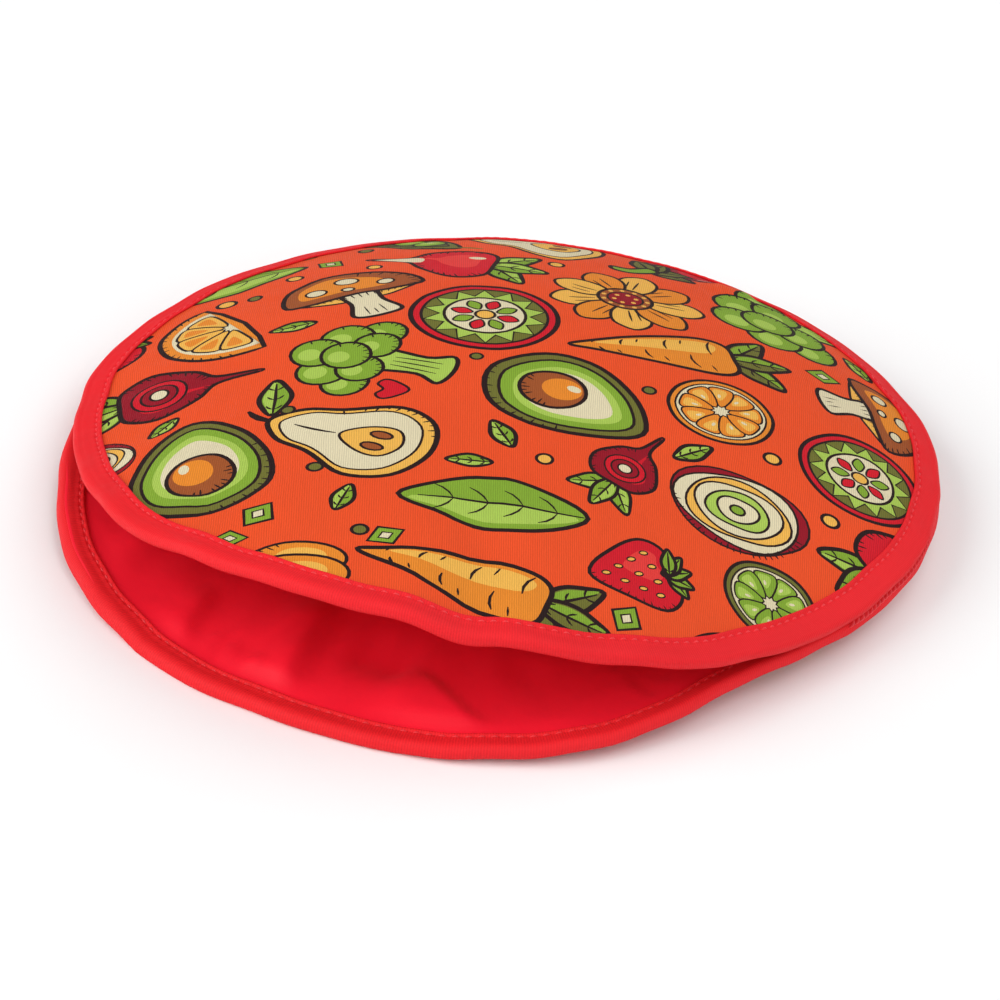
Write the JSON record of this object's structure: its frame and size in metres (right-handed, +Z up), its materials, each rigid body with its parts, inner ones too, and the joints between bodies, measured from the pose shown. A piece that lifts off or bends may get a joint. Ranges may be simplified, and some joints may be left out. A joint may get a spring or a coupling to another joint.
{
  "type": "tortilla warmer",
  "caption": "Round padded fabric pouch with bound edges, sewn shut around the back and open as two lips at a wide front mouth.",
  "frame": {"origin": "middle of the bounding box's length and width, on the table that the pouch lies on", "axes": "+Z up through the pouch's thickness, +Y from the mouth to the back, +X to the right of someone who faces the mouth"},
  "size_m": [0.2948, 0.3108, 0.051],
  "materials": {
    "printed_cloth": null,
    "lining_cloth": "smooth satin-like red polyester lining",
    "binding_cloth": "red knitted binding with a fine rib and a soft sheen",
    "batting": "white polyester batting, hidden between cover and lining",
    "thread": "red sewing thread"
  },
  "bodies": {
    "pouch": {"lower_cover": "printed_cloth", "lower_batting": "batting", "lower_lining": "lining_cloth", "lower_binding": "binding_cloth", "lower_topstitch": "thread", "upper_cover_rear": "printed_cloth", "upper_batting_rear": "batting", "upper_lining_rear": "lining_cloth", "upper_binding_rear": "binding_cloth", "upper_topstitch_rear": "thread", "seam_stitch": "thread"},
    "lip": {"upper_cover_front": "printed_cloth", "upper_batting_front": "batting", "upper_lining_front": "lining_cloth", "upper_binding_front": "binding_cloth", "upper_topstitch_front": "thread"}
  },
  "joints": [
    {"name": "lip_fold", "type": "hinge", "parent": "pouch", "child": "lip", "pos_m": [0, -0.0207, 0.0509], "axis": [-1, 0, 0], "range_deg": [0, 60]}
  ]
}
